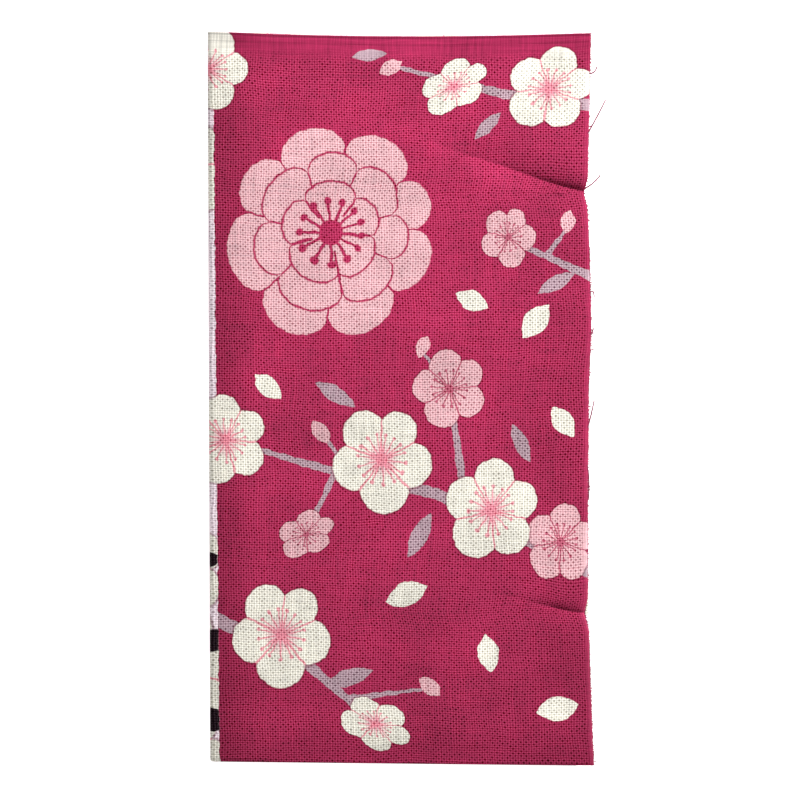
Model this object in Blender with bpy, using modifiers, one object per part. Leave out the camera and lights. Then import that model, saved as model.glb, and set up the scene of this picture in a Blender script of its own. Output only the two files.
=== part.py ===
"""A folded tenugui: a length of plain-woven cotton, doubled along its middle and then laid to and fro in ten.

It lies flat with its long side along Y: the two selvedges at +Y, the first fold at -Y, the cut ends at +X.
"""

from bisect import bisect_right
from collections import namedtuple
from math import cos, exp, hypot, pi, sin

import bmesh
import bpy
from mathutils import Vector

MM = 0.001

# The flat cloth, with its cut ends on the short sides and its selvedges on the long ones.
CLOTH_LENGTH = 0.900
CLOTH_WIDTH = 0.346

# How it is folded. Each layer is the cloth taken double, and its two plies part at the selvedges.
LAYERS = 10
LAYER_THICKNESS = 1.0 * MM
LAYER_GAP = 0.25 * MM
PLY_GAP = 0.30 * MM
PLY_GAP_DEPTH = 9.0 * MM
EDGE_ROUNDING = 0.28 * MM

HALF_BREADTH = CLOTH_LENGTH / LAYERS / 2
HALF_HEIGHT = CLOTH_WIDTH / 4
PITCH = LAYER_THICKNESS + LAYER_GAP
STACK_HEIGHT = LAYERS * PITCH - LAYER_GAP
LOWEST_MIDDLE = LAYER_THICKNESS / 2
TURN_RADIUS = PITCH / 2
TURN_STEPS = 4

# Each edge of the zigzag, from the front down: the front cut end, nine turns, and the back cut end.
# side is +1 on the right. head and foot are how far it stays inside the nominal breadth at the top and
# at the bottom of the bundle, and slip is how far the cloth has moved up there. All are in millimetres.
Edge = namedtuple("Edge", "side head foot slip")
EDGES = (
    Edge(+1, 0.0, 0.0, 0.0),
    Edge(-1, -0.4, 0.2, -0.2),
    Edge(+1, 1.5, 1.1, 0.6),
    Edge(-1, 0.2, 0.7, 0.1),
    Edge(+1, 1.9, 1.4, 0.3),
    Edge(-1, 0.7, 0.4, -0.3),
    Edge(+1, 1.4, 1.7, 0.1),
    Edge(-1, 0.4, 0.9, 0.3),
    Edge(+1, 2.2, 1.5, -0.2),
    Edge(-1, 0.6, 0.5, 0.2),
    Edge(+1, 1.8, 2.3, -0.3),
)

# The front cut end isn't straight, and two tucks pull it in: how far it reaches past the nominal breadth
# at each height, in millimetres. The rows of the cloth's grid lie at these heights.
Reach = namedtuple("Reach", "height past")
CUT_END = (
    Reach(-86.5, 1.2),
    Reach(-83.0, 1.0),
    Reach(-70.0, 0.5),
    Reach(-55.0, 0.0),
    Reach(-50.6, -1.1),
    Reach(-46.0, -0.3),
    Reach(-20.0, -0.2),
    Reach(4.0, 0.0),
    Reach(16.0, 0.6),
    Reach(33.0, 0.2),
    Reach(45.0, -0.3),
    Reach(48.6, -1.3),
    Reach(53.0, -0.3),
    Reach(58.0, -0.2),
    Reach(68.0, 0.1),
    Reach(83.0, 0.4),
    Reach(86.5, 0.5),
)

# Where the columns of the grid cross every layer, in millimetres along X: close together at the creases.
COLUMNS = (-36.0, -18.0, 2.0, 15.0, 26.0, 35.0, 41.0)

# Hollows and swells of the front, which fade to nothing at the flat underside. Each has its middle, its
# reach along X and Y before those are turned, the turn in radians, and its rise, in millimetres.
Swell = namedtuple("Swell", "x y reach_x reach_y turn rise")
SWELLS = (
    Swell(28.0, 55.0, 20.0, 3.6, -0.40, -0.75),
    Swell(42.0, 49.5, 6.0, 3.0, -0.30, -0.45),
    Swell(31.0, 45.0, 16.0, 4.5, -0.35, 0.30),
    Swell(12.0, 28.0, 24.0, 22.0, 0.20, 0.25),
    Swell(41.0, -49.5, 9.0, 3.6, 0.10, -0.65),
    Swell(-22.0, -34.0, 20.0, 30.0, 0.30, -0.30),
    Swell(-25.0, 40.0, 16.0, 24.0, -0.30, -0.25),
)
BORDER_DROOP = 0.5 * MM
BORDER_REACH = 4.5 * MM

# The selvedges bow down between their corners, and both ends of the bundle fall a little to the right.
HEAD_BOW = 1.0 * MM
SKEW_HEAD = 0.006
SKEW_FOOT = 0.013

COTTON_COLOUR = (0.40, 0.033, 0.095, 1.0)
COTTON_ROUGHNESS = 0.9


def between(low, high, share):
    """The value that far from low to high."""
    return low + (high - low) * share


def cut_end_reach(height):
    """How far the front cut end reaches past the nominal breadth, in metres."""
    heights = [row.height for row in CUT_END]
    place = min(max(height / MM, heights[0]), heights[-1])
    index = min(bisect_right(heights, place), len(heights) - 1)
    low, high = CUT_END[index - 1], CUT_END[index]
    share = (place - low.height) / (high.height - low.height)
    return between(low.past, high.past, share) * MM


def up_the_bundle(height):
    """0 at the foot of the bundle and 1 at its head."""
    return height / (2 * HALF_HEIGHT) + 0.5


def edge_x(index, height):
    """Where an edge of the zigzag lies across the bundle, to the outside of the cloth."""
    edge = EDGES[index]
    inside = between(edge.foot, edge.head, up_the_bundle(height)) * MM
    past = cut_end_reach(height) if index == 0 else 0.0
    return edge.side * (HALF_BREADTH - inside + past)


def settled(x, height, slip, z):
    """A point of the even zigzag, moved to where it lies in the softly folded bundle."""
    across = min(abs(x) / HALF_BREADTH, 1.0)
    skew = between(SKEW_FOOT, SKEW_HEAD, up_the_bundle(height))
    y = height + slip - skew * x - HEAD_BOW * up_the_bundle(height) * (1 - across ** 2)
    rise = 0.0
    for swell in SWELLS:
        dx = x / MM - swell.x
        dy = height / MM - swell.y
        along = (dx * cos(swell.turn) + dy * sin(swell.turn)) / swell.reach_x
        aside = (dy * cos(swell.turn) - dx * sin(swell.turn)) / swell.reach_y
        rise += swell.rise * MM * exp(-hypot(along, aside) ** 2)
    for inside in (HALF_BREADTH - abs(x), HALF_HEIGHT - abs(height)):
        rise -= BORDER_DROOP * exp(-max(inside, 0.0) / BORDER_REACH)
    above_underside = max(z - LOWEST_MIDDLE, 0.0) / (STACK_HEIGHT - LAYER_THICKNESS)
    return Vector((x, y, z + rise * above_underside))


def zigzag(height, overrun=0.0):
    """The middle line of the doubled cloth at one height, from the front cut end to the back one.

    overrun lengthens it at both cut ends.
    """
    points = []
    for layer in range(LAYERS):
        start, end = EDGES[layer], EDGES[layer + 1]
        inset = TURN_RADIUS + LAYER_THICKNESS / 2
        x_start = edge_x(layer, height) - start.side * (-overrun if layer == 0 else inset)
        x_end = edge_x(layer + 1, height) - end.side * (-overrun if layer == LAYERS - 1 else inset)
        z = STACK_HEIGHT - LAYER_THICKNESS / 2 - layer * PITCH
        for x in (x_start, *(column * MM for column in COLUMNS[::end.side]), x_end):
            slip = between(start.slip, end.slip, (x - x_start) / (x_end - x_start)) * MM
            points.append(settled(x, height, slip, z))
        if layer < LAYERS - 1:
            for step in range(1, TURN_STEPS):
                angle = pi * step / TURN_STEPS
                x = x_end + end.side * TURN_RADIUS * sin(angle)
                points.append(settled(x, height, end.slip * MM, z - TURN_RADIUS * (1 - cos(angle))))
    return points


def folded_sheet(name, heights, thickness, overrun=0.0):
    """A flat grid laid along the zigzag, with Solidify for its thickness."""
    lines = [zigzag(height, overrun) for height in heights]
    last_column, last_row = len(lines[0]) - 1, len(lines) - 1
    mesh = bpy.data.meshes.new(name)
    bm = bmesh.new()
    bmesh.ops.create_grid(bm, x_segments=last_column, y_segments=last_row, size=0.5)
    for vertex in bm.verts:
        column = round((vertex.co.x + 0.5) * last_column)
        row = round((vertex.co.y + 0.5) * last_row)
        vertex.co = lines[row][column]
    bm.to_mesh(mesh)
    bm.free()
    sheet = bpy.data.objects.new(name, mesh)
    solidify = sheet.modifiers.new("thickness", "SOLIDIFY")
    solidify.thickness = thickness
    solidify.offset = 0.0
    return sheet


def cotton():
    """Dyed cotton, matt."""
    material = bpy.data.materials.new("dyed_cotton")
    material.use_nodes = True
    shader = material.node_tree.nodes["Principled BSDF"]
    shader.inputs["Base Color"].default_value = COTTON_COLOUR
    shader.inputs["Roughness"].default_value = COTTON_ROUGHNESS
    shader.inputs["Metallic"].default_value = 0.0
    return material


def cloth():
    """The whole cloth, folded, with its rim rounded off."""
    sheet = folded_sheet("tenugui", [row.height * MM for row in CUT_END], LAYER_THICKNESS)
    rim = sheet.modifiers.new("rounded_rim", "BEVEL")
    rim.width = EDGE_ROUNDING
    rim.segments = 2
    rim.limit_method = "ANGLE"
    rim.angle_limit = pi / 3
    sheet.data.materials.append(cotton())
    return sheet


def ply_gap():
    """The space between the two plies, open at the selvedges and at the cut ends beside them."""
    past = 2 * MM
    middle = HALF_HEIGHT - PLY_GAP_DEPTH / 2
    heights = [HALF_HEIGHT - PLY_GAP_DEPTH, middle, HALF_HEIGHT, HALF_HEIGHT + past]
    cutter = folded_sheet("ply_gap", heights, PLY_GAP, overrun=past)
    cutter.display_type = "WIRE"
    cutter.hide_render = True
    return cutter


def add_collection(name, member):
    """A new collection in the scene, with one object in it."""
    made = bpy.data.collections.new(name)
    made.objects.link(member)
    bpy.context.scene.collection.children.link(made)


def centre_on_origin(sheet, cutter):
    """Move both alike, so that the cloth's box is centred over the origin and stands on z = 0."""
    bpy.context.view_layer.update()
    evaluated = sheet.evaluated_get(bpy.context.evaluated_depsgraph_get())
    corners = [Vector(corner) for corner in evaluated.bound_box]
    low, high = (Vector(map(pick, zip(*corners))) for pick in (min, max))
    middle = (low + high) / 2
    for moved in (sheet, cutter):
        moved.location = (-middle.x, -middle.y, -low.z)


def build():
    for old in list(bpy.data.objects):
        bpy.data.objects.remove(old, do_unlink=True)
    sheet, cutter = cloth(), ply_gap()
    add_collection("folded_tenugui", sheet)
    add_collection("cutters", cutter)
    parting = sheet.modifiers.new("parted_plies", "BOOLEAN")
    parting.object = cutter
    parting.operation = "DIFFERENCE"
    centre_on_origin(sheet, cutter)


build()
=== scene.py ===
import random
from collections import namedtuple
from math import cos, pi, sin

import bpy
import numpy as np
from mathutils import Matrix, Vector


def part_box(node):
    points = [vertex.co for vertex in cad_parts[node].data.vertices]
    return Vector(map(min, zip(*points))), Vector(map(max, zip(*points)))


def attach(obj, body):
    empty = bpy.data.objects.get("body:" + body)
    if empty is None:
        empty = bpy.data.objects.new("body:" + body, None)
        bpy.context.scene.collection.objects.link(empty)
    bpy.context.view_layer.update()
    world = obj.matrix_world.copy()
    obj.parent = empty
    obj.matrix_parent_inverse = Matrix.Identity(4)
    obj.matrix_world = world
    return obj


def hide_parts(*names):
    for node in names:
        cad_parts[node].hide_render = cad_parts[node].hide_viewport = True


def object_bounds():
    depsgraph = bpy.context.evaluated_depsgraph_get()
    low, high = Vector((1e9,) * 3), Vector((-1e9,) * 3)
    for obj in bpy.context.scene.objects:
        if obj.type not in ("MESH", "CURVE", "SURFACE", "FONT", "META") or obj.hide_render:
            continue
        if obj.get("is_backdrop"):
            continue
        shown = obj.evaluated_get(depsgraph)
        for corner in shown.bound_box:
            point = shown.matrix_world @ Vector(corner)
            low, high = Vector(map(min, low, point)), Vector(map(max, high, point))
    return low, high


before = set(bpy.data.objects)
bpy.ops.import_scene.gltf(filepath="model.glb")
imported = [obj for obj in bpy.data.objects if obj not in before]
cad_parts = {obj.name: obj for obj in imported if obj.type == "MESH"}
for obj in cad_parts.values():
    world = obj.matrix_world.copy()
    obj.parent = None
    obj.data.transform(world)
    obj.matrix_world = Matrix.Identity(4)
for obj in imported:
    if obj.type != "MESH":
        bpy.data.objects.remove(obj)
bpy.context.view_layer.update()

MM = 0.001

# The flat cloth, and how it is folded: doubled along its middle, then laid to and fro in ten layers.
CLOTH_LENGTH = 0.900
CLOTH_WIDTH = 0.346
LAYERS = 10
LAYER_PITCH = 1.25 * MM
LAYER_THICKNESS = 1.0 * MM
PLY_THICKNESS = 0.34 * MM
PLY_APART = 0.33 * MM
HALF_BREADTH = CLOTH_LENGTH / LAYERS / 2
HALF_HEIGHT = CLOTH_WIDTH / 4
STACK_HEIGHT = LAYERS * LAYER_PITCH - (LAYER_PITCH - LAYER_THICKNESS)
TURN_RADIUS = LAYER_PITCH / 2

# Each edge of the zigzag, from the front down: the front cut end, nine turns, and the back cut end.
# side is +1 on the right. head and foot are how far it stays inside the nominal breadth at the top and
# at the bottom of the bundle, and slip is how far the cloth has moved up there. All are in millimetres.
Edge = namedtuple("Edge", "side head foot slip")
EDGES = (
    Edge(+1, 0.0, 0.0, 0.0),
    Edge(-1, -0.4, 0.2, -0.2),
    Edge(+1, 1.5, -0.5, 0.6),
    Edge(-1, 0.2, 0.7, 0.1),
    Edge(+1, 1.9, 1.4, 0.3),
    Edge(-1, 0.7, 0.4, -0.3),
    Edge(+1, 1.4, 1.7, 0.1),
    Edge(-1, 0.4, 0.9, 0.3),
    Edge(+1, 2.2, 1.5, -0.2),
    Edge(-1, 0.6, 0.5, 0.2),
    Edge(+1, 1.8, 2.3, -0.3),
)

# How far the front cut end reaches past the nominal breadth at each height, in millimetres.
Reach = namedtuple("Reach", "height past")
CUT_END = (
    Reach(-86.5, 1.2),
    Reach(-83.0, 1.0),
    Reach(-70.0, 0.5),
    Reach(-55.0, 0.0),
    Reach(-50.6, -1.1),
    Reach(-46.0, -0.3),
    Reach(-20.0, -0.2),
    Reach(4.0, 0.0),
    Reach(16.0, 0.6),
    Reach(33.0, 0.2),
    Reach(45.0, -0.3),
    Reach(48.6, -1.3),
    Reach(53.0, -0.3),
    Reach(58.0, -0.2),
    Reach(68.0, 0.1),
    Reach(83.0, 0.4),
    Reach(86.5, 0.5),
)

# Hollows and swells that all the layers share, which fade to nothing at the underside. Each has its
# middle, its reach along X and Y before those are turned, the turn in radians, and its rise, in mm.
Swell = namedtuple("Swell", "x y reach_x reach_y turn rise")
SWELLS = (
    Swell(28.0, 55.0, 20.0, 3.6, -0.40, -0.75),
    Swell(42.0, 49.5, 6.0, 3.0, -0.30, -0.45),
    Swell(31.0, 45.0, 16.0, 4.5, -0.35, 0.30),
    Swell(12.0, 28.0, 24.0, 22.0, 0.20, 0.25),
    Swell(41.0, -49.5, 9.0, 3.6, 0.10, -0.65),
    Swell(-22.0, -34.0, 20.0, 30.0, 0.30, -0.30),
    Swell(-25.0, 40.0, 16.0, 24.0, -0.30, -0.25),
)
# Soft ridges and hollows of the front ply alone.
RIDGES = (
    Swell(38.2, 49.1, 0.9, 0.55, 0.40, 0.80),
    Swell(22.0, 80.5, 15.0, 2.4, -0.05, -0.25),
    Swell(-3.0, 79.6, 18.0, 3.0, 0.0, 0.50),
    Swell(-5.0, 71.0, 20.0, 3.4, 0.20, 0.30),
    Swell(-30.0, -24.0, 17.0, 3.4, 0.42, 0.40),
    Swell(-26.0, -33.0, 15.0, 3.0, 0.36, -0.25),
    Swell(14.0, 14.0, 18.0, 9.0, -0.25, 0.65),
    Swell(28.0, -20.0, 14.0, 4.5, 0.15, -0.25),
    Swell(10.0, -62.0, 24.0, 4.0, 0.05, 0.30),
    Swell(-32.0, 62.0, 10.0, 5.0, 0.60, -0.25),
    Swell(-38.0, 0.0, 5.0, 110.0, 0.0, 0.60),
    Swell(0.0, -79.5, 90.0, 4.0, 0.0, 0.50),
)

# The two creases that start at the cut end, each as the line of its bottom, with how high the front ply
# stands beside it. In millimetres.
Bottom = namedtuple("Bottom", "x y rise")
UPPER_CREASE = (
    Bottom(2.0, 63.4, 0.0),
    Bottom(9.7, 60.6, 0.22),
    Bottom(16.3, 58.2, 0.44),
    Bottom(23.0, 56.1, 0.62),
    Bottom(29.6, 54.0, 0.82),
    Bottom(36.2, 52.1, 1.08),
    Bottom(41.0, 50.5, 1.18),
    Bottom(44.0, 49.5, 1.10),
    Bottom(46.0, 49.0, 0.95),
)
LOWER_CREASE = (
    Bottom(14.0, -45.6, 0.0),
    Bottom(23.4, -46.1, 0.12),
    Bottom(30.0, -47.7, 0.22),
    Bottom(34.5, -48.6, 0.42),
    Bottom(37.7, -49.1, 0.90),
    Bottom(40.6, -49.9, 0.86),
    Bottom(43.5, -50.4, 0.76),
    Bottom(46.0, -50.6, 0.60),
)
# How quickly the cloth rises from a crease, close to it and farther off, how far that reaches, and what
# share of the table's rise it comes to.
Flank = namedtuple("Flank", "steep gentle share reach full")
FLANK_ABOVE = Flank(0.85, 3.4, 0.72, 11.0, 1.0)
FLANK_BELOW = Flank(0.80, 6.0, 0.80, 9.0, 0.30)
# How far the bottom of a crease is pinched down below the cloth around it.
CREASE_SINK = 0.2 * MM

# How the creases pull the front ply and its weave along with them, in millimetres.
Pull = namedtuple("Pull", "x y reach_x reach_y shift_y")
PULLS = (
    Pull(42.0, 53.4, 13.0, 3.4, -1.1),
    Pull(42.0, -45.6, 8.0, 3.8, -1.7),
)

BORDER_DROOP = 0.5 * MM
BORDER_REACH = 4.5 * MM
HEAD_BOW = 1.0 * MM
SKEW_HEAD = 0.006
SKEW_FOOT = 0.013

# How finely the cloth is divided: the right of the front layer and the rows at the creases are the finest.
FINE_COLUMN = 0.6 * MM
COARSE_COLUMN = 2.4 * MM
HIDDEN_COLUMNS = 9
TURN_COLUMNS = 6
Band = namedtuple("Band", "low high step")
FRONT_ROWS = (
    Band(-86.5, -84.0, 0.6),
    Band(-84.0, -55.5, 2.8),
    Band(-55.5, -44.5, 0.35),
    Band(-44.5, 45.5, 3.0),
    Band(45.5, 66.0, 0.35),
    Band(66.0, 84.0, 2.2),
    Band(84.0, 86.5, 0.5),
)
BACK_ROWS = (
    Band(-86.5, -55.5, 4.4),
    Band(-55.5, -44.5, 2.2),
    Band(-44.5, 45.5, 6.0),
    Band(45.5, 66.0, 2.2),
    Band(66.0, 86.5, 3.4),
)
FOOT_ROWS = 6
# How far in from the left fold the front ply's own ridges come up to their full rise.
FADE_IN = 7.0 * MM

# Loose weft yarns at the front cut end, each by the heights and reaches of its root, middle and tip, in mm.
Yarn = namedtuple("Yarn", "root_y mid_x mid_y tip_x tip_y")
LOOSE_YARNS = (
    Yarn(76.2, 46.1, 77.2, 47.0, 78.6),
    Yarn(62.0, 46.9, 66.6, 49.0, 70.7),
    Yarn(49.2, 45.8, 50.8, 47.7, 52.8),
    Yarn(23.0, 45.9, 25.3, 46.3, 23.8),
    Yarn(14.0, 45.7, 15.4, 46.1, 16.6),
    Yarn(-8.6, 45.4, -4.6, 46.3, -0.6),
    Yarn(-14.0, 45.0, -19.0, 44.9, -24.2),
)
YARN_RADIUS = 0.19 * MM
YARN_ROOT_DEPTH = 0.6 * MM
YARN_TIP_DROP = 0.3 * MM
YARN_BEND_STEPS = 10
YARN_TAPER = 0.8

# The fringe of short cut yarns along both raw ends: how far apart they lie, how far each starts inside the
# cloth, how far it reaches out, and how much longer the odd loose one is.
STUB_SPACING = 0.56 * MM
STUB_RADIUS = STUB_SPACING * 0.3
STUB_ROOT_DEPTH = 0.3 * MM
STUB_REACH = (0.05, 0.32)
LONG_STUB_CHANCE = 0.03
LONG_STUB_EXTRA = (0.2, 0.7)
STUB_LEAN_Y = (-0.5, 0.5)
STUB_LEAN_Z = (-0.25, 0.1)
STUB_SEED = 7

# The photo's frame, and the camera that takes it from straight above.
PHOTO_PIXELS = 800
PIXELS_PER_MM = 4.22
CAMERA_HEIGHT = 1.3
SENSOR = 36.0
EYE_X = -0.25 * MM
EYE_Y = -0.5 * MM

# The light. Each lamp has its place and its breadth in metres, and its power in watts.
ROOM_BRIGHTNESS = 0.30
FLOOR_BRIGHTNESS = 0.8
Lamp = namedtuple("Lamp", "name place power breadth")
LAMPS = (
    Lamp("key", (0.34, 0.48, 0.48), 8.4, 0.22),
    Lamp("fill", (0.3, -0.7, 0.9), 0.8, 0.9),
)
WHITE = (1.0, 1.0, 1.0, 1.0)
TABLE_SIZE = 6.0
TABLE_COLOURS = ((0.93, 0.93, 0.93, 1.0), (0.95, 0.95, 0.95, 1.0))


def between(low, high, share):
    """The value that far from low to high."""
    return low + (high - low) * share


def up_the_bundle(height):
    """0 at the foot of the bundle and 1 at its head."""
    return height / (2 * HALF_HEIGHT) + 0.5


def edge_x(index, height):
    """Where an edge of the zigzag lies across the bundle, to the outside of the cloth."""
    edge = EDGES[index]
    inside = between(edge.foot, edge.head, up_the_bundle(height)) * MM
    past = 0.0
    if index == 0:
        past = np.interp(height / MM, [row.height for row in CUT_END], [row.past for row in CUT_END]) * MM
    return edge.side * (HALF_BREADTH - inside + past)


def relief(swells, x, height):
    """How far a table of swells lifts each place, in metres."""
    rise = np.zeros_like(x)
    for swell in swells:
        dx = x / MM - swell.x
        dy = height / MM - swell.y
        along = (dx * cos(swell.turn) + dy * sin(swell.turn)) / swell.reach_x
        aside = (dy * cos(swell.turn) - dx * sin(swell.turn)) / swell.reach_y
        rise += swell.rise * MM * np.exp(-along ** 2 - aside ** 2)
    return rise


def crease_relief(crease, x, height):
    """How far the front ply stands above the bottom of a crease, in metres."""
    places = [bottom.x for bottom in crease]
    line = np.interp(x / MM, places, [bottom.y for bottom in crease])
    rise = np.interp(x / MM, places, [bottom.rise for bottom in crease], left=0.0)
    from_line = height / MM - line
    lift = np.zeros_like(x)
    for flank, there in ((FLANK_ABOVE, from_line >= 0), (FLANK_BELOW, from_line < 0)):
        away = np.abs(from_line)
        sunk = flank.share * np.exp(-away / flank.steep) + (1 - flank.share) * np.exp(-away / flank.gentle)
        lift += there * (1 - sunk) * flank.full * np.exp(-(away / flank.reach) ** 2)
    return lift * rise * MM - CREASE_SINK * np.exp(-np.abs(from_line)) * np.minimum(rise, 1.0)


def pulled(x, height):
    """How far the creases pull each place of the front ply along Y, in metres."""
    shift = np.zeros_like(x)
    for pull in PULLS:
        squared = ((x / MM - pull.x) / pull.reach_x) ** 2 + ((height / MM - pull.y) / pull.reach_y) ** 2
        shift += pull.shift_y * MM * np.exp(-squared)
    return shift


def settled(x, height, slip, z):
    """Places of the even zigzag, moved to where they lie in the softly folded bundle."""
    across = np.minimum(np.abs(x) / HALF_BREADTH, 1.0)
    skew = between(SKEW_FOOT, SKEW_HEAD, up_the_bundle(height))
    y = height + slip - skew * x - HEAD_BOW * up_the_bundle(height) * (1 - across ** 2)
    rise = relief(SWELLS, x, height)
    for inside in (HALF_BREADTH - np.abs(x), HALF_HEIGHT - np.abs(height)):
        rise -= BORDER_DROOP * np.exp(-np.maximum(inside, 0.0) / BORDER_REACH)
    lowest = LAYER_THICKNESS / 2
    above_underside = np.maximum(z - lowest, 0.0) / (STACK_HEIGHT - LAYER_THICKNESS)
    return np.stack([x, y, z + rise * above_underside], axis=-1)


Column = namedtuple("Column", "layer share angle along")


def cloth_columns():
    """Where the cloth is divided along its length: its layer, the share of the layer's run that is done,
    the angle turned through after it, and the length of cloth so far."""
    columns, done = [], 0.0
    inset = TURN_RADIUS + LAYER_THICKNESS / 2
    for layer in range(LAYERS):
        run = 2 * HALF_BREADTH - inset * (1 if layer in (0, LAYERS - 1) else 2)
        shares = np.linspace(0, 1, HIDDEN_COLUMNS)
        if layer == 0:
            fine = np.arange(0, HALF_BREADTH, FINE_COLUMN)
            coarse = np.linspace(HALF_BREADTH, run, round((run - HALF_BREADTH) / COARSE_COLUMN))
            shares = np.concatenate([fine, coarse]) / run
        columns += [Column(layer, share, 0.0, done + run * share) for share in shares]
        done += run
        if layer < LAYERS - 1:
            for step in range(1, TURN_COLUMNS):
                angle = pi * step / TURN_COLUMNS
                columns.append(Column(layer, 1.0, angle, done + TURN_RADIUS * angle))
            done += TURN_RADIUS * pi
    return columns


Row = namedtuple("Row", "height fold along")


def band_heights(bands):
    """The heights of a table of bands, from the foot up, in metres."""
    heights = []
    for band in bands:
        heights += list(np.arange(band.low, band.high - band.step / 2, band.step))
    return np.array(heights + [bands[-1].high]) * MM


def cloth_rows():
    """Where the cloth is divided across its width: the height, the angle turned through at the foot, and
    the width of cloth so far. The front ply runs down, and the back ply up again."""
    rows = []
    for height in band_heights(FRONT_ROWS)[::-1]:
        rows.append(Row(height, 0.0, HALF_HEIGHT - height))
    for step in range(1, FOOT_ROWS):
        fold = pi * step / FOOT_ROWS
        rows.append(Row(-HALF_HEIGHT, fold, 2 * HALF_HEIGHT + PLY_APART * fold))
    for height in band_heights(BACK_ROWS):
        rows.append(Row(height, pi, 3 * HALF_HEIGHT + PLY_APART * pi + height))
    return rows


def folded_cloth_points(columns, rows):
    """Every point of the cloth's middle surface, as an array of rows by columns by three."""
    layer = np.array([column.layer for column in columns])
    share = np.array([column.share for column in columns])
    angle = np.array([column.angle for column in columns])
    start_slip = np.array([EDGES[i].slip for i in layer]) * MM
    end_slip = np.array([EDGES[i + 1].slip for i in layer]) * MM
    side = np.array([EDGES[i + 1].side for i in layer])
    outside = np.where(layer % 2 == 0, 1.0, -1.0)
    z = STACK_HEIGHT - LAYER_THICKNESS / 2 - layer * LAYER_PITCH - TURN_RADIUS * (1 - np.cos(angle))
    slip = between(start_slip, end_slip, share)
    inset = TURN_RADIUS + LAYER_THICKNESS / 2
    points = []
    for row in rows:
        starts = [edge_x(i, row.height) - EDGES[i].side * (inset if i else 0.0) for i in range(LAYERS)]
        ends = []
        for i in range(1, LAYERS + 1):
            ends.append(edge_x(i, row.height) - EDGES[i].side * (inset if i < LAYERS else 0.0))
        x = between(np.array(starts)[layer], np.array(ends)[layer], share)
        x = x + side * TURN_RADIUS * np.sin(angle)
        offset = PLY_APART * cos(row.fold)
        middle = settled(x, np.full_like(x, row.height), slip, z)
        middle[:, 0] += offset * outside * side * np.sin(angle)
        middle[:, 1] -= PLY_APART * sin(row.fold)
        middle[:, 2] += offset * outside * np.cos(angle)
        if row.fold == 0.0:
            front = (layer == 0) & (angle == 0)
            height = np.full_like(x, row.height)
            lift = relief(RIDGES, x, height)
            for crease in (UPPER_CREASE, LOWER_CREASE):
                lift += crease_relief(crease, x, height)
            middle[:, 2] += lift * front * np.minimum((HALF_BREADTH + x) / FADE_IN, 1.0)
            middle[:, 1] += pulled(x, height) * front
        points.append(middle)
    return np.array(points)


def placed_in_frame(points):
    """The points moved so that the cloth is centred in the CAD solid's box and stands on its underside."""
    low, high = (np.array(corner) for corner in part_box("tenugui"))
    flat = points.reshape(-1, 3)
    shift = (low + high) / 2 - (flat.min(0) + flat.max(0)) / 2
    shift[2] = low[2] - flat[:, 2].min() + PLY_THICKNESS / 2
    return points + shift, shift


def cloth_piece(columns, rows, points):
    """The cloth as one thin closed sheet, with its flat length and width as its UV map, in metres."""
    height, width = points.shape[:2]
    number = np.arange(height * width).reshape(height, width)
    corners = [number[:-1, :-1], number[:-1, 1:], number[1:, 1:], number[1:, :-1]]
    faces = np.stack(corners, axis=-1).reshape(-1, 4)[:, ::-1]
    mesh = bpy.data.meshes.new("tenugui_cloth")
    mesh.from_pydata(points.reshape(-1, 3).tolist(), [], faces.tolist())
    flat_map = mesh.uv_layers.new(name="flat_cloth")
    vertex = np.empty(len(mesh.loops), dtype=np.int64)
    mesh.loops.foreach_get("vertex_index", vertex)
    along = np.array([column.along for column in columns])[vertex % width]
    across = np.array([row.along for row in rows])[vertex // width]
    flat_map.data.foreach_set("uv", np.stack([along, across], axis=-1).ravel())
    mesh.shade_smooth()
    cloth = bpy.data.objects.new("tenugui_cloth", mesh)
    bpy.context.scene.collection.objects.link(cloth)
    thick = cloth.modifiers.new("ply_thickness", "SOLIDIFY")
    thick.thickness = PLY_THICKNESS
    thick.offset = 0.0
    return cloth


def yarn_piece(name, strands, radius):
    """Strands of yarn, each a list of points, as one joined mesh of thin tapering tubes."""
    curve = bpy.data.curves.new(name, "CURVE")
    curve.dimensions = "3D"
    curve.bevel_depth = radius
    curve.bevel_resolution = 1
    curve.use_fill_caps = True
    for strand in strands:
        spline = curve.splines.new("POLY")
        spline.points.add(len(strand) - 1)
        for index, (point, place) in enumerate(zip(spline.points, strand)):
            point.co = (*place, 1.0)
            point.radius = between(1.0, YARN_TAPER, index / (len(strand) - 1))
    guide = bpy.data.objects.new(name + "_guide", curve)
    bpy.context.scene.collection.objects.link(guide)
    depsgraph = bpy.context.evaluated_depsgraph_get()
    mesh = bpy.data.meshes.new_from_object(guide.evaluated_get(depsgraph))
    bpy.data.objects.remove(guide, do_unlink=True)
    piece = bpy.data.objects.new(name, mesh)
    bpy.context.scene.collection.objects.link(piece)
    return piece


def bent(root, middle, tip):
    """A smooth bend through three places."""
    line = []
    for step in range(YARN_BEND_STEPS + 1):
        share = step / YARN_BEND_STEPS
        handle = middle * 2 - (root + tip) / 2
        line.append(root * (1 - share) ** 2 + handle * 2 * share * (1 - share) + tip * share ** 2)
    return line


def loose_yarns(rows, points, shift):
    """The few long weft yarns that have come loose at the front cut end."""
    front = [index for index, row in enumerate(rows) if row.fold == 0.0]
    heights = np.array([points[index, 0, 1] for index in front])
    strands = []
    for yarn in LOOSE_YARNS:
        index = front[int(np.argmin(np.abs(heights - yarn.root_y * MM)))]
        root = Vector(points[index, 0]) - Vector((YARN_ROOT_DEPTH, 0, 0))
        middle = Vector((yarn.mid_x * MM + shift[0], yarn.mid_y * MM, root.z))
        tip = Vector((yarn.tip_x * MM + shift[0], yarn.tip_y * MM, root.z - YARN_TIP_DROP))
        strands.append(bent(root, middle, tip))
    return yarn_piece("loose_yarn_ends", strands, YARN_RADIUS)


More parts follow.
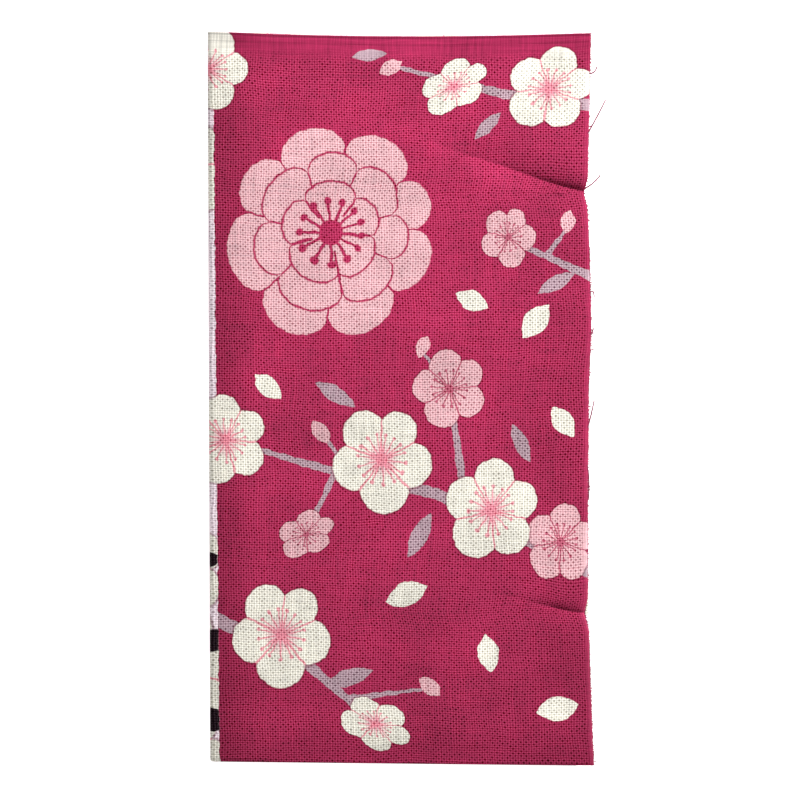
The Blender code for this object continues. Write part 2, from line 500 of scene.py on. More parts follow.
def yarn_stubs(rows, points):
    """The short cut ends of the weft yarns, side by side along both raw ends of the cloth."""
    chance = random.Random(STUB_SEED)
    strands = []
    for column in (0, -1):
        line = points[:, column]
        along = np.concatenate([[0], np.cumsum(np.linalg.norm(np.diff(line, axis=0), axis=1))])
        for distance in np.arange(STUB_SPACING, along[-1], STUB_SPACING):
            place = Vector([np.interp(distance, along, line[:, axis]) for axis in range(3)])
            reach = chance.uniform(*STUB_REACH) * MM
            if chance.random() < LONG_STUB_CHANCE:
                reach += chance.uniform(*LONG_STUB_EXTRA) * MM
            lean = Vector((1.0, chance.uniform(*STUB_LEAN_Y), chance.uniform(*STUB_LEAN_Z)))
            strands.append([place - Vector((STUB_ROOT_DEPTH, 0, 0)), place + lean * reach])
    return yarn_piece("cut_end_stubs", strands, STUB_RADIUS)


class Tone:
    """A node's output in a material. Python's operators on it add Math nodes. Without a socket it only adds
    a material's first nodes."""

    def __init__(self, tree, socket=None):
        self.tree = tree
        self.socket = socket

    def node(self, kind, settings=None, values=None, output=0):
        """Adds a node of any kind: its settings first, then its sockets, as values or links."""
        made = self.tree.nodes.new(kind)
        for name, setting in (settings or {}).items():
            if name == "stops":
                ramp = made.color_ramp
                while len(ramp.elements) < len(setting):
                    ramp.elements.new(1.0)
                for element, (position, colour) in zip(ramp.elements, setting):
                    element.position = position
                    element.color = colour
                ramp.interpolation = "CONSTANT"
            else:
                setattr(made, name, setting)
        for place, value in (values or {}).items():
            if isinstance(value, Tone):
                self.tree.links.new(value.socket, made.inputs[place])
            else:
                made.inputs[place].default_value = value
        return Tone(self.tree, made.outputs[output])

    def math(self, operation, *others):
        return self.node("ShaderNodeMath", {"operation": operation}, dict(enumerate((self, *others))))

    def vector(self, operation, *others, output=0, factor=None):
        """Adds a Vector Math node. factor is what SCALE multiplies by."""
        values = dict(enumerate((self, *others)))
        if factor is not None:
            values["Scale"] = factor
        return self.node("ShaderNodeVectorMath", {"operation": operation}, values, output)

    def __add__(self, other):
        return self.math("ADD", other)

    def __radd__(self, other):
        return self.math("ADD", other)

    def __sub__(self, other):
        return self.math("SUBTRACT", other)

    def __rsub__(self, other):
        return (self * -1.0).math("ADD", other)

    def __mul__(self, other):
        return self.math("MULTIPLY", other)

    def __rmul__(self, other):
        return self.math("MULTIPLY", other)

    def __truediv__(self, other):
        return self.math("DIVIDE", other)

    def __abs__(self):
        return self.math("ABSOLUTE")

    def least(self, other):
        """The lower of two values."""
        return self.math("MINIMUM", other)

    def most(self, other):
        """The higher of two values."""
        return self.math("MAXIMUM", other)

    def fade(self, start, end):
        """0 where this is at start, 1 where it is at end, and soft in between."""
        settings = {"interpolation_type": "SMOOTHSTEP"}
        return self.node("ShaderNodeMapRange", settings, {0: self, 1: start, 2: end})

    def blend(self, first, second):
        """A colour from first, where this is 0, to second, where this is 1."""
        settings = {"data_type": "RGBA"}
        return self.node("ShaderNodeMix", settings, {"Factor": self, 6: first, 7: second}, 2)

    def choose(self, first, second):
        """A place from first, where this is 0, to second, where this is 1."""
        settings = {"data_type": "VECTOR"}
        return self.node("ShaderNodeMix", settings, {"Factor": self, 4: first, 5: second}, 1)

    def parts(self):
        """The three parts of a place."""
        split = self.node("ShaderNodeSeparateXYZ", None, {0: self})
        return [Tone(self.tree, output) for output in split.socket.node.outputs]

    def noise(self, scale, detail=1.0, colour=False):
        """Soft noise over a place."""
        values = {"Vector": self, "Scale": scale, "Detail": detail}
        return self.node("ShaderNodeTexNoise", {"noise_dimensions": "2D"}, values, 1 if colour else 0)


def srgb(red, green, blue):
    """A colour from its values in a photo, 0 to 255, as a shader wants it."""
    linear = []
    for value in (red, green, blue):
        share = value / 255
        linear.append(share / 12.92 if share <= 0.04045 else ((share + 0.055) / 1.055) ** 2.4)
    return (*linear, 1.0)


MAGENTA = srgb(172, 45, 87)
# The front's magenta as painted in shade, towards its borders.
PAINTED_SHADE_MAGENTA = srgb(127, 29, 61)
CREAM = srgb(226, 222, 211)
BLOSSOM_PINK = srgb(219, 174, 180)
FLUSH = srgb(222, 128, 146)
LILAC = srgb(176, 150, 160)
LILAC_GROUND = srgb(236, 221, 228)
PALE_GROUND = srgb(218, 174, 184)
ROSE_GROUND = srgb(200, 92, 126)
DARK_GROUND = srgb(52, 24, 48)
DARK_LEAF = srgb(30, 12, 22)
OVERPRINT = srgb(116, 18, 50)

# The print, in millimetres from the left of the front face and down from its selvedge. The panels of
# ground colour run on leftwards, round the first fold and through the bundle. A pair of places, here and
# below, is where a soft edge starts and where the thing is full.
FRONT_BREADTH = 90.0
Wander = namedtuple("Wander", "scale reach")
PRINT_WANDER = Wander(0.5, 0.35)
SIDE_PANEL_EDGE = 1.3
SIDE_PANEL_SLANT = 0.0055
PANEL_EDGES = (-810.0, -720.0, -540.0, -360.0, -180.0)
PANEL_COLOURS = (DARK_GROUND, LILAC_GROUND, ROSE_GROUND, PALE_GROUND, LILAC_GROUND)
PANEL_SOFTNESS = 0.1
DARKEST_PANEL = (-719.8, -720.2)
PANELS_WITH_REPEAT = (-18.0, -18.4)

# Painted shade: how much darker the front's magenta is painted towards its left, right, foot and head, for
# the shade on its drooping borders; each with where it starts, where it is full, and its share.
Border = namedtuple("Border", "start full share")
LEFT_PAINTED_SHADE = Border(18.0, -2.0, 0.48)
RIGHT_PAINTED_SHADE = Border(62.0, 90.0, 0.30)
FOOT_PAINTED_SHADE = Border(116.0, 173.0, 0.24)
HEAD_PAINTED_SHADE = Border(14.0, 2.0, 0.26)

# Each flower's middle and radius, how far it is turned, and how narrow it looks from the side.
Flower = namedtuple("Flower", "x y radius turn narrow")
CREAM_BLOSSOMS = (
    Flower(67.0, 113.0, 12.0, 0.3, 1.0),
    Flower(41.0, 101.0, 13.0, 1.0, 0.94),
    Flower(80.5, 13.0, 11.0, 0.1, 0.90),
    Flower(58.0, 12.0, 9.0, 0.5, 0.64),
    Flower(4.0, 97.0, 10.5, 0.5, 1.0),
    Flower(17.0, 143.0, 13.0, 0.9, 0.92),
    Flower(0.0, 9.0, 10.0, 0.0, 1.0),
    Flower(39.0, 164.0, 9.0, -0.5, 0.66),
)
PINK_BLOSSOMS = (
    Flower(57.0, 84.0, 9.5, 0.6, 0.95),
    Flower(83.5, 120.5, 9.0, 0.2, 1.0),
    Flower(23.0, 119.0, 7.5, 0.4, 0.70),
    Flower(71.0, 48.0, 7.5, 1.1, 0.86),
)
SIDE_PANEL_BLOSSOMS = (
    Flower(-7.0, 151.0, 15.0, 0.2, 1.0),
    Flower(-8.0, 127.5, 12.5, 0.5, 1.0),
    Flower(-7.0, 171.0, 12.0, 0.9, 1.0),
    Flower(-8.0, 33.0, 14.0, 0.7, 1.0),
)
PEONY = Flower(29.0, 47.0, 26.0, 0.3, 0.93)
Ring = namedtuple("Ring", "petals reach turn")
PEONY_RINGS = (Ring(8, 1.0, 0.0), Ring(7, 0.74, 0.45), Ring(5, 0.47, 0.1))

# How a blossom is drawn, in its own radii: each petal has a round end about a middle, and a thin gap parts
# it from the next.
PETALS = 5
PETAL_MIDDLE = 0.56
PETAL_RADIUS = 0.42
BLOSSOM_CORE = 0.5
PETAL_EDGE = (0.014, -0.014)
PETAL_OUTLINE = (0.046, 0.024)
PETAL_GAP = (0.026, 0.012)
PETAL_GAP_FROM = (0.1, 0.16)
STAMENS = 15
STAMEN_LENGTH = 0.46
STALK_EDGE = (0.020, 0.008)
STALK_TAPER = 0.04
STAMEN_TIP = (0.048, 0.028)
STAMEN_HEART = (0.13, 0.11)
FLUSHED = (0.42, 0.08)
OUTLINE_SHARE = 0.5
LINE_SHARE = 0.8

# How a flower strays from an even one: its radius and its petals' angles swing this often as it goes round.
# A ring of the peony starts its swing at so many times its own turn.
Swing = namedtuple("Swing", "times start reach")
RADIUS_SWING = Swing(2, 0.7, 0.05)
ANGLE_SWING = Swing(1, 0.4, 0.12)
RING_SWING = Swing(3, 9.0, 0.06)

# How the peony is drawn, in its own radii.
SCALLOP = 0.24
RING_EDGE = (0.008, -0.008)
RING_OUTLINE = (0.012, 0.030)
RING_GAP = (0.030, 0.012)
PEONY_HEART = (0.19, 0.17)
PEONY_STAMENS = 13
PEONY_STAMEN_LENGTH = 0.30
PEONY_STAMEN_END = (0.36, 0.34)

# Leaves, loose petals and buds, each with its middle, its half length and how far it is turned. Their
# breadths are shares of that length.
Leaf = namedtuple("Leaf", "x y length turn")
LEAF_BREADTH = 0.34
DARK_LEAF_BREADTH = 0.42
PETAL_BREADTH = 0.56
BUD_BREADTH = 0.60
LEAF_EDGE = (-0.02, 0.03)
CREAM_PETALS = (
    Leaf(77.0, 68.0, 5.0, 0.9),
    Leaf(84.0, 92.0, 4.4, 2.2),
    Leaf(47.0, 133.0, 5.2, 0.4),
    Leaf(66.0, 147.0, 4.6, 1.7),
    Leaf(62.0, 63.0, 4.2, 2.7),
    Leaf(82.0, 160.0, 5.2, 0.2),
    Leaf(14.0, 84.0, 4.2, 2.4),
)
BUDS = (
    Leaf(43.0, 7.5, 3.0, 0.5),
    Leaf(26.5, 94.5, 3.2, 2.2),
    Leaf(52.0, 155.0, 3.2, 2.4),
    Leaf(50.5, 74.0, 2.8, 1.2),
    Leaf(85.2, 44.6, 2.9, 1.3),
)
LILAC_LEAVES = (
    Leaf(50.0, 119.0, 6.0, 1.1),
    Leaf(30.0, 85.5, 5.5, 2.6),
    Leaf(82.0, 59.0, 5.0, 0.5),
    Leaf(33.0, 153.0, 6.0, 0.3),
    Leaf(74.0, 97.0, 5.0, 2.0),
    Leaf(38.0, 4.6, 4.2, 0.1),
    Leaf(66.0, 21.5, 4.4, 0.8),
)
DARK_LEAVES = (
    Leaf(-1.5, 126.0, 5.0, 0.3),
    Leaf(0.5, 144.7, 6.5, 0.2),
    Leaf(0.5, 163.4, 6.5, -0.1),
)
# Each twig's stroke, from one end and half thickness to the other.
Twig = namedtuple("Twig", "x0 y0 thick0 x1 y1 thick1")
TWIG_EDGE = (0.12, -0.12)
TWIGS = (
    Twig(92.0, 127.0, 2.1, 74.0, 119.0, 1.8),
    Twig(74.0, 119.0, 1.8, 54.0, 109.0, 1.4),
    Twig(54.0, 109.0, 1.4, 30.0, 104.0, 1.0),
    Twig(30.0, 104.0, 1.0, 4.0, 97.0, 0.5),
    Twig(61.0, 112.0, 1.1, 57.0, 84.0, 0.6),
    Twig(57.0, 84.0, 0.6, 50.0, 74.5, 0.3),
    Twig(30.0, 104.0, 0.8, 23.0, 119.0, 0.4),
    Twig(34.0, 105.0, 0.7, 27.0, 95.0, 0.3),
    Twig(92.0, 17.5, 1.5, 70.0, 14.0, 1.1),
    Twig(70.0, 14.0, 1.1, 43.5, 7.0, 0.4),
    Twig(92.0, 58.5, 1.1, 71.0, 48.5, 0.5),
    Twig(80.0, 52.5, 0.7, 85.0, 46.0, 0.3),
    Twig(-2.0, 138.0, 1.7, 22.0, 149.0, 1.3),
    Twig(22.0, 149.0, 1.3, 44.0, 168.0, 0.5),
    Twig(33.0, 158.0, 0.8, 51.5, 155.5, 0.3),
)

# The small repeat of the panels behind, and how far each column of it turns its blossoms.
REPEAT = 36.0
REPEAT_RADIUS = 8.0
REPEAT_TURN = 0.7

# The weave: the pitch of its yarns along the cloth's length and across its width, in millimetres, and how
# far the yarns wander from an even grid, in pitches.
WARP_PITCH = 0.607
WEFT_PITCH = 0.562
SLOW_WANDER = Wander(0.08, 0.9)
QUICK_WANDER = Wander(0.7, 0.17)

# Each yarn is thick and thin by turns. The noise that says so is stretched along it.
THICKNESS_SCALE = 0.8
THICKNESS_STRETCH = 0.07
THICK_YARN = (0.40, 0.66)

# The holes, at every other crossing of the gaps between yarns, painted dark as shade, and how unlike one
# another they are.
HOLE = (0.32, 0.86)
HOLE_SHIFT = -0.08
HOLE_CHANCE = 0.3
HOLE_DEPTH = 0.85
HOLE_DEPTH_CHANCE = 0.25
# The lines between yarns, painted dark as shade: how dark they are everywhere, and how much darker beside a
# thick yarn.
Line = namedtuple("Line", "least more")
WARP_LINE = Line(0.07, 0.40)
WEFT_LINE = Line(0.10, 0.50)

# Where the weave is open, by the distance from the cut end and from a selvedge, where it is dense beside
# the selvedge, and what that takes away.
OPEN_FROM_CUT = (0.8, 1.5)
OPEN_FROM_SELVEDGE = (2.6, 7.4)
DENSE = (8.0, 2.5)
DENSE_LESS_LINE = 0.6
DENSE_LESS_CROWN = 0.7

# How bright the cloth is: its uneven yarns, its cloudy patches, and the streaks along the selvedge.
BRIGHTNESS = 0.985
YARN_SHARE = 0.45
PATCH_SHARE = 0.46
PATCH_SCALE = 0.07
PATCH_DETAIL = 3.0
STREAKS_ACROSS = 2.3
STREAKS_DOWN = 0.2
STREAK = (0.35, 0.65)
STREAK_SHARE = 0.12

# The dark lines along the selvedge: how far in each lies, where it starts and is full to either side of
# that, and how dark it is.
SelvedgeLine = namedtuple("SelvedgeLine", "inside start full share")
SELVEDGE_LINES = (SelvedgeLine(0.4, 0.36, 0.12, 0.42), SelvedgeLine(2.1, 0.28, 0.10, 0.20))

# The crowns, where a yarn comes over another, painted lighter and paler as a highlight, and the gaps
# between them, painted darker and deeper as shade.
CROWN_HIGHLIGHT_GAIN = (1.32, 1.32, 1.32)
CROWN_HIGHLIGHT_LIFT = (0.026, 0.026, 0.026)
GAP_SHADE_GAIN = 0.62
CROWN_RISE = 0.6

# The pale rim of loosened yarn along the cut end, which is stronger towards the foot.
RIM_FROM_CUT = (1.0, 0.3)
RIM_FROM_SELVEDGE = (2.0, 9.0)
RIM_DOWN = (50.0, 110.0)
RIM_LEAST = 0.1
RIM_MORE = 0.5

# The finish of the cotton and of its frayed yarn.
SPECULAR = 0.015
COTTON_ROUGHNESS = 0.86
COTTON_ROUGHNESS_SPREAD = 0.1
BUMP_STRENGTH = 0.3
BUMP_HEIGHT = 0.12 * MM
FRAYED_DARK = srgb(108, 36, 60)
FRAYED_PALE = srgb(150, 66, 94)
FRAYED_ROUGHNESS = 0.84
FRAYED_ROUGHNESS_SPREAD = 0.12
TWIST_SCALE = 900.0
TWIST_DETAIL = 2.0
TABLE_ROUGHNESS = 0.9
TABLE_CLOUD_SCALE = 3.0


def swung(angle, times, start, reach):
    """A small swing that comes round so many times as the angle goes round."""
    return (angle * times + start).math("SINE") * reach


def turned_about(place, x, y, turn):
    """A place, turned about a middle."""
    values = {"Vector": place, "Center": (x, y, 0.0), "Angle": turn}
    return place.node("ShaderNodeVectorRotate", {"rotation_type": "Z_AXIS"}, values)


def nearest_flower(place, flowers):
    """The place as seen from the nearest flower: how far out in its radii, and at what angle."""
    found, distance = None, None
    for flower in flowers:
        turned = turned_about(place, flower.x, flower.y, flower.turn)
        size, side = 1 / flower.radius, 1 / (flower.radius * flower.narrow)
        local = turned.vector("MULTIPLY_ADD", (size, side, 0.0), (-flower.x * size, -flower.y * side, 0.0))
        away = local.vector("LENGTH", output=1)
        if found is None:
            found, distance = local, away
        else:
            found = away.math("LESS_THAN", distance).choose(found, local)
            distance = distance.least(away)
    across, down, _ = found.parts()
    angle = down.math("ARCTAN2", across)
    return distance * (1 + swung(angle, *RADIUS_SWING)), angle + swung(angle, *ANGLE_SWING)


def stamens(out, angle, count, length):
    """Thin spokes with a dot at the end of each, round a small middle."""
    spoke = angle.math("PINGPONG", pi / count)
    aside = out * spoke.math("SINE")
    stalk = aside.fade(*STALK_EDGE) * out.fade(length, length - STALK_TAPER)
    past = out - length
    tip = (past * past + aside * aside).math("SQRT").fade(*STAMEN_TIP)
    return stalk.most(tip).most(out.fade(*STAMEN_HEART))


def blossom(out, angle):
    """A round-petalled blossom of five: its petals, its fine lines, and all that its outline covers."""
    half_petal = pi / PETALS
    fold = angle.math("PINGPONG", half_petal)
    along, aside = out * fold.math("COSINE"), out * fold.math("SINE")
    cap = along - PETAL_MIDDLE
    petal = (cap * cap + aside * aside).math("SQRT") - PETAL_RADIUS
    edge = petal.least(out - BLOSSOM_CORE)
    petals = edge.fade(*PETAL_EDGE)
    gap = (out * (half_petal - fold).math("SINE")).fade(*PETAL_GAP) * out.fade(*PETAL_GAP_FROM)
    lines = gap.most(stamens(out, angle, STAMENS, STAMEN_LENGTH)) * petals
    return petals, lines, edge.fade(*PETAL_OUTLINE)


def peony(place):
    """The large flower: rings of broad petals, each edged by a line of the ground, and its stamens."""
    out, angle = nearest_flower(place, [PEONY])
    painted = None
    for ring in PEONY_RINGS:
        breadth = pi / ring.petals
        swing = swung(angle, RING_SWING.times, ring.turn * RING_SWING.start, RING_SWING.reach)
        fold = (angle + ring.turn + swing).math("PINGPONG", breadth) / breadth
        scallop = (1 - fold * fold).most(0.0).math("SQRT") * SCALLOP + (1 - SCALLOP)
        past = out - scallop * ring.reach
        gap = ((1 - fold) * out).fade(*RING_GAP)
        inside = past.fade(*RING_EDGE) * (1 - gap)
        painted = inside if painted is None else (painted * past.fade(*RING_OUTLINE)).most(inside)
    heart = out.fade(*PEONY_HEART)
    lines = stamens(out, angle, PEONY_STAMENS, PEONY_STAMEN_LENGTH) * out.fade(*PEONY_STAMEN_END)
    return painted.most(heart), lines


def leaf_mask(place, leaves, breadth):
    """Pointed ovals at every row of a table."""
    mask = None
    for leaf in leaves:
        turned = turned_about(place, leaf.x, leaf.y, leaf.turn)
        size = 1 / leaf.length
        local = turned.vector("MULTIPLY_ADD", (size, size, 0.0), (-leaf.x * size, -leaf.y * size, 0.0))
        along, aside, _ = local.parts()
        inside = (1 - along * along) * breadth - abs(aside)
        found = inside.fade(*LEAF_EDGE)
        mask = found if mask is None else mask.most(found)
    return mask


def twig_mask(place):
    """The twigs: tapering strokes with round ends."""
    outline = None
    for twig in TWIGS:
        run = (twig.x1 - twig.x0, twig.y1 - twig.y0)
        squared = run[0] ** 2 + run[1] ** 2
        local = place.vector("SUBTRACT", (twig.x0, twig.y0, 0.0))
        share = local.vector("DOT_PRODUCT", (run[0] / squared, run[1] / squared, 0.0), output=1)
        share = share.most(0.0).least(1.0)
        on_line = share.node("ShaderNodeCombineXYZ", None, {0: share * run[0], 1: share * run[1]})
        thicker = share * (twig.thick1 - twig.thick0)
        away = local.vector("DISTANCE", on_line, output=1) - thicker - twig.thick0
        outline = away if outline is None else outline.least(away)
    return outline.fade(*TWIG_EDGE)


def repeat_blossoms(place):
    """Small blossoms in a half-drop repeat, which the panels behind the front one carry."""
    across, down, _ = place.parts()
    column = (across / REPEAT).math("FLOOR")
    drop = column.math("PINGPONG", 1.0) * (REPEAT / 2)
    size = REPEAT / REPEAT_RADIUS
    local_x = ((across / REPEAT).math("FRACT") - 0.5) * size
    local_y = (((down + drop) / REPEAT).math("FRACT") - 0.5) * size
    out = (local_x * local_x + local_y * local_y).math("SQRT")
    return blossom(out, local_y.math("ARCTAN2", local_x) + column * REPEAT_TURN)


def painted_blossoms(colour, place, flowers, petal_colour, line_colour, shown=1.0):
    """A colour with a table of blossoms painted over it."""
    out, angle = nearest_flower(place, flowers)
    petals, lines, outline = blossom(out, angle)
    colour = (outline * shown * OUTLINE_SHARE).blend(colour, OVERPRINT)
    flushed = out.fade(*FLUSHED).blend(petal_colour, BLOSSOM_PINK)
    colour = (petals * shown).blend(colour, flushed)
    return (lines * shown * LINE_SHARE).blend(colour, line_colour)


def grounds(across, down, side_panel):
    """The dyed grounds: magenta on the front, painted darker towards its borders as shade, and a colour for
    each panel behind it.
    """
    first, last = PANEL_EDGES[0], FRONT_BREADTH
    stops = [((edge - first) / (last - first), colour) for edge, colour in zip(PANEL_EDGES, PANEL_COLOURS)]
    share = (across - first) / (last - first)
    panels = share.node("ShaderNodeValToRGB", {"stops": stops}, {0: share})
    shaded_borders = ((across, LEFT_PAINTED_SHADE), (across, RIGHT_PAINTED_SHADE), (down, FOOT_PAINTED_SHADE), (down, HEAD_PAINTED_SHADE))
    # Painted shade: the front's magenta darkens towards its four borders.
    painted_shade = 0.0
    for distance, border in shaded_borders:
        painted_shade = distance.fade(border.start, border.full) * border.share + painted_shade
    return side_panel.blend(painted_shade.least(1.0).blend(MAGENTA, PAINTED_SHADE_MAGENTA), panels)


def printed_colour(place):
    """The dyed and printed colours of the cloth at a place on it."""
    place = place.vector("ADD", scattered(place, *PRINT_WANDER))
    across, down, _ = place.parts()
    from_side = across - down * SIDE_PANEL_SLANT - SIDE_PANEL_EDGE
    side_panel = from_side.fade(PANEL_SOFTNESS, -PANEL_SOFTNESS)
    colour = grounds(across, down, side_panel)

    behind, darkest = across.fade(*PANELS_WITH_REPEAT), across.fade(*DARKEST_PANEL)
    petals, lines, _ = repeat_blossoms(place)
    colour = (petals * behind).blend(colour, darkest.blend(CREAM, ROSE_GROUND))
    colour = (lines * behind).blend(colour, darkest.blend(FLUSH, DARK_GROUND))

    petals, lines = peony(place)
    colour = petals.blend(colour, BLOSSOM_PINK)
    colour = lines.blend(colour, MAGENTA)
    colour = (twig_mask(place) * (1 - side_panel)).blend(colour, LILAC)
    colour = leaf_mask(place, LILAC_LEAVES, LEAF_BREADTH).blend(colour, LILAC)
    colour = leaf_mask(place, BUDS, BUD_BREADTH).blend(colour, BLOSSOM_PINK)
    colour = painted_blossoms(colour, place, PINK_BLOSSOMS, BLOSSOM_PINK, MAGENTA)
    colour = painted_blossoms(colour, place, CREAM_BLOSSOMS, CREAM, FLUSH)
    colour = leaf_mask(place, CREAM_PETALS, PETAL_BREADTH).blend(colour, CREAM)

    colour = painted_blossoms(colour, place, SIDE_PANEL_BLOSSOMS, CREAM, FLUSH, side_panel)
    dark_leaves = leaf_mask(place, DARK_LEAVES, DARK_LEAF_BREADTH) * side_panel
    return dark_leaves.blend(colour, DARK_LEAF)


def new_material(name):
    """A material with its shader, and the tree that its nodes go in."""
    material = bpy.data.materials.new(name)
    material.use_nodes = True
    shader = material.node_tree.nodes["Principled BSDF"]
    shader.inputs["Specular IOR Level"].default_value = SPECULAR
    return material, shader, material.node_tree


def scattered(place, scale, reach):
    """A small shift that wanders softly over the cloth, up to about reach either way."""
    noise = place.noise(scale, colour=True)
    return noise.vector("MULTIPLY_ADD", (reach * 2, reach * 2, 0.0), (-reach, -reach, 0.0))


def combined(first, second):
    """A place from its two parts."""
    return first.node("ShaderNodeCombineXYZ", None, {0: first, 1: second})


def thickness(first, second):
    """How thick a yarn is along its run, by the place in pitches, with its own direction squeezed."""
    return combined(first, second).noise(THICKNESS_SCALE)


def selvedge_lines(from_selvedge):
    """What the dark lines along the selvedge leave of the cloth's brightness."""
    left = 1.0
    for line in SELVEDGE_LINES:
        left = left - abs(from_selvedge - line.inside).fade(line.start, line.full) * line.share
    return left


def woven(colour, place):
    """The plain weave over a colour: the colour with painted highlights on its yarn crowns and painted
    shade in its gaps and holes, their height, and how thick the warp yarns are."""
    across, down, _ = place.parts()
    drift = scattered(place, *SLOW_WANDER).vector("ADD", scattered(place, *QUICK_WANDER))
    drift_x, drift_y, _ = drift.parts()
    warp = across / WARP_PITCH + drift_x
    weft = down / WEFT_PITCH + drift_y
    warp_wave, weft_wave = (warp * pi).math("SINE"), (weft * pi).math("SINE")
    warp_edge, weft_edge = warp_wave * warp_wave, weft_wave * weft_wave
    cell = combined(warp.math("FLOOR"), weft.math("FLOOR"))
    chance = cell.node("ShaderNodeTexWhiteNoise", {"noise_dimensions": "2D"}, {"Vector": cell})
    along_warp = thickness(warp, weft * THICKNESS_STRETCH)
    along_weft = thickness(warp * THICKNESS_STRETCH, weft)

    from_cut = FRONT_BREADTH - across
    from_selvedge = down.least(CLOTH_WIDTH / MM - down)
    open_weave = from_cut.fade(*OPEN_FROM_CUT) * from_selvedge.fade(*OPEN_FROM_SELVEDGE)
    dense = from_selvedge.fade(*DENSE)
    hole = (warp_wave * weft_wave + chance * HOLE_CHANCE + HOLE_SHIFT).fade(*HOLE)
    hole = hole * (chance * HOLE_DEPTH_CHANCE + HOLE_DEPTH)
    warp_line = warp_edge * warp_edge * (along_warp.fade(*THICK_YARN) * WARP_LINE.more + WARP_LINE.least)
    weft_line = weft_edge * weft_edge * (along_weft.fade(*THICK_YARN) * WEFT_LINE.more + WEFT_LINE.least)
    gaps = (hole.most(weft_line) * open_weave).most(warp_line * (1 - dense * DENSE_LESS_LINE)).least(1.0)
    crown = (1 - warp_edge) * (1 - weft_edge) * (1 - dense * DENSE_LESS_CROWN)

    streaks = combined(across * STREAKS_ACROSS, down * STREAKS_DOWN).noise(1.0)
    patch = place.noise(PATCH_SCALE, PATCH_DETAIL) - 0.5
    evenness = BRIGHTNESS + (along_warp + along_weft - 1) * YARN_SHARE + patch * PATCH_SHARE
    evenness = evenness - streaks.fade(*STREAK) * dense * STREAK_SHARE
    yarn = colour.vector("SCALE", factor=evenness * selvedge_lines(from_selvedge))
    # Painted highlight: the crowns take a lighter, paler colour, for the light they catch.
    painted_highlight = yarn.vector("MULTIPLY_ADD", CROWN_HIGHLIGHT_GAIN, CROWN_HIGHLIGHT_LIFT)
    # Painted shade: the gaps and holes take the yarn colour times itself, darker and deeper, for the shade
    # that falls into them.
    sunk = yarn.vector("MULTIPLY", yarn.vector("SCALE", factor=GAP_SHADE_GAIN))
    rim = from_cut.fade(*RIM_FROM_CUT) * from_selvedge.fade(*RIM_FROM_SELVEDGE)
    rim = rim * (down.fade(*RIM_DOWN) * RIM_MORE + RIM_LEAST)
    # The crowns and the pale rim of the cut end are both blended to that painted highlight colour.
    top = crown.most(rim).blend(yarn, painted_highlight)
    return gaps.blend(top, sunk), crown * CROWN_RISE - gaps, along_warp


def cotton_material():
    """Dyed and printed plain-woven cotton: matt, with painted shade in its interstices, painted highlights
    on its yarn crowns, and uneven yarns.
    """
    material, shader, tree = new_material("dyed_cotton_weave")
    flat = Tone(tree).node("ShaderNodeUVMap", {"uv_map": "flat_cloth"})
    place = flat.vector("MULTIPLY_ADD", (-1 / MM, 1 / MM, 0.0), (FRONT_BREADTH, 0.0, 0.0))
    colour, height, thick = woven(printed_colour(place), place)
    tree.links.new(colour.socket, shader.inputs["Base Color"])
    roughness = COTTON_ROUGHNESS + (thick - 0.5) * COTTON_ROUGHNESS_SPREAD
    tree.links.new(roughness.socket, shader.inputs["Roughness"])
    values = {"Strength": BUMP_STRENGTH, "Distance": BUMP_HEIGHT, "Height": height}
    bump = height.node("ShaderNodeBump", None, values)
    tree.links.new(bump.socket, shader.inputs["Normal"])
    return material


def yarn_material():
    """The frayed yarn of the cut ends: duller than the cloth, and uneven along its twist."""
    material, shader, tree = new_material("loose_cotton_yarn")
    place = Tone(tree).node("ShaderNodeTexCoord", output="Object")
    twist = place.noise(TWIST_SCALE, TWIST_DETAIL)
    colour = twist.blend(FRAYED_DARK, FRAYED_PALE)
    tree.links.new(colour.socket, shader.inputs["Base Color"])
    roughness = FRAYED_ROUGHNESS + twist * FRAYED_ROUGHNESS_SPREAD
    tree.links.new(roughness.socket, shader.inputs["Roughness"])
    return material


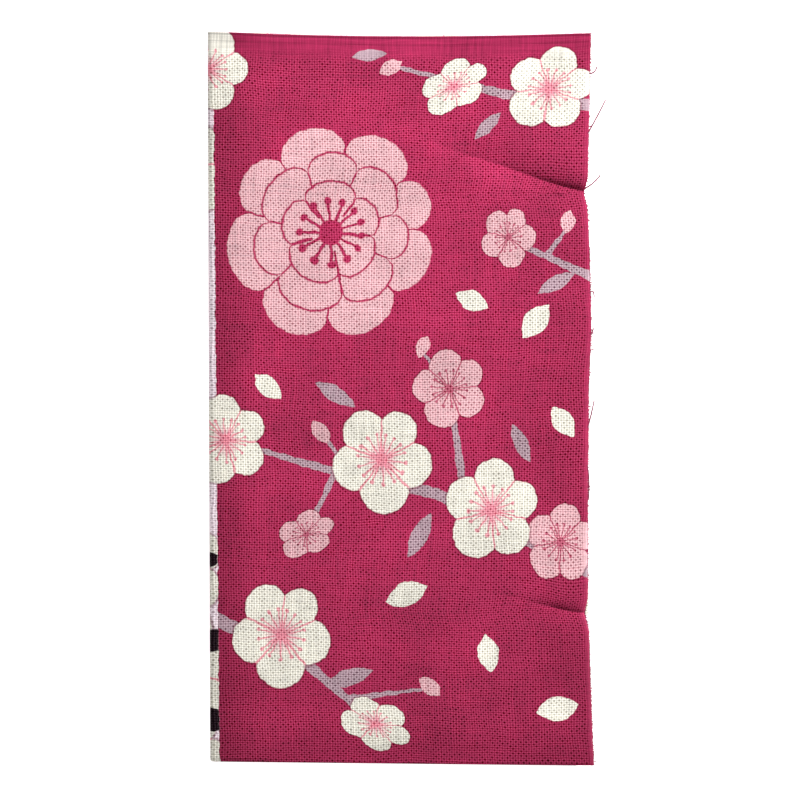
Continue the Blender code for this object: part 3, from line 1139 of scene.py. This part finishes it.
def floor():
    """A plain white table under the cloth."""
    bpy.ops.mesh.primitive_plane_add(size=TABLE_SIZE, location=(0, 0, 0))
    table = bpy.context.object
    table.name = "white_table"
    material, shader, tree = new_material("white_table")
    place = Tone(tree).node("ShaderNodeTexCoord", output="Object")
    colour = place.noise(TABLE_CLOUD_SCALE).blend(*TABLE_COLOURS)
    tree.links.new(colour.socket, shader.inputs["Base Color"])
    shader.inputs["Roughness"].default_value = TABLE_ROUGHNESS
    shader.inputs["Specular IOR Level"].default_value = 0.0
    shader.inputs["Emission Color"].default_value = WHITE
    shader.inputs["Emission Strength"].default_value = FLOOR_BRIGHTNESS
    table.data.materials.append(material)
    table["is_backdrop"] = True


def light(lamp):
    """A soft round lamp that points at the middle of the cloth."""
    disk = bpy.data.lights.new(lamp.name, "AREA")
    disk.shape = "DISK"
    disk.size = lamp.breadth
    disk.energy = lamp.power
    made = bpy.data.objects.new(lamp.name, disk)
    made.location = lamp.place
    made.rotation_euler = (-Vector(lamp.place)).to_track_quat("-Z", "Y").to_euler()
    bpy.context.scene.collection.objects.link(made)


def lighting():
    """A white room, and a soft key light from beyond the head of the bundle."""
    world = bpy.data.worlds.new("white_room")
    world.use_nodes = True
    background = world.node_tree.nodes["Background"]
    background.inputs["Color"].default_value = WHITE
    background.inputs["Strength"].default_value = ROOM_BRIGHTNESS
    bpy.context.scene.world = world
    for lamp in LAMPS:
        light(lamp)
    bpy.context.scene.view_settings.view_transform = "Standard"


def camera():
    """Straight down on the front face, at the photo's scale."""
    lens = bpy.data.cameras.new("camera")
    lens.sensor_width = SENSOR
    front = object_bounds()[1][2]
    frame_width = PHOTO_PIXELS / PIXELS_PER_MM * MM
    lens.lens = SENSOR * CAMERA_HEIGHT / frame_width
    eye = bpy.data.objects.new("camera", lens)
    eye.location = (EYE_X, EYE_Y, front + CAMERA_HEIGHT)
    bpy.context.scene.collection.objects.link(eye)
    bpy.context.scene.camera = eye


def build():
    camera()
    columns, rows = cloth_columns(), cloth_rows()
    points, shift = placed_in_frame(folded_cloth_points(columns, rows))
    cloth = cloth_piece(columns, rows, points)
    yarns, stubs = loose_yarns(rows, points, shift), yarn_stubs(rows, points)
    cloth.data.materials.append(cotton_material())
    loose = yarn_material()
    for piece in (yarns, stubs):
        piece.data.materials.append(loose)
    for piece in (cloth, yarns, stubs):
        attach(piece, "root")
    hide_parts("tenugui")
    floor()
    lighting()


build()
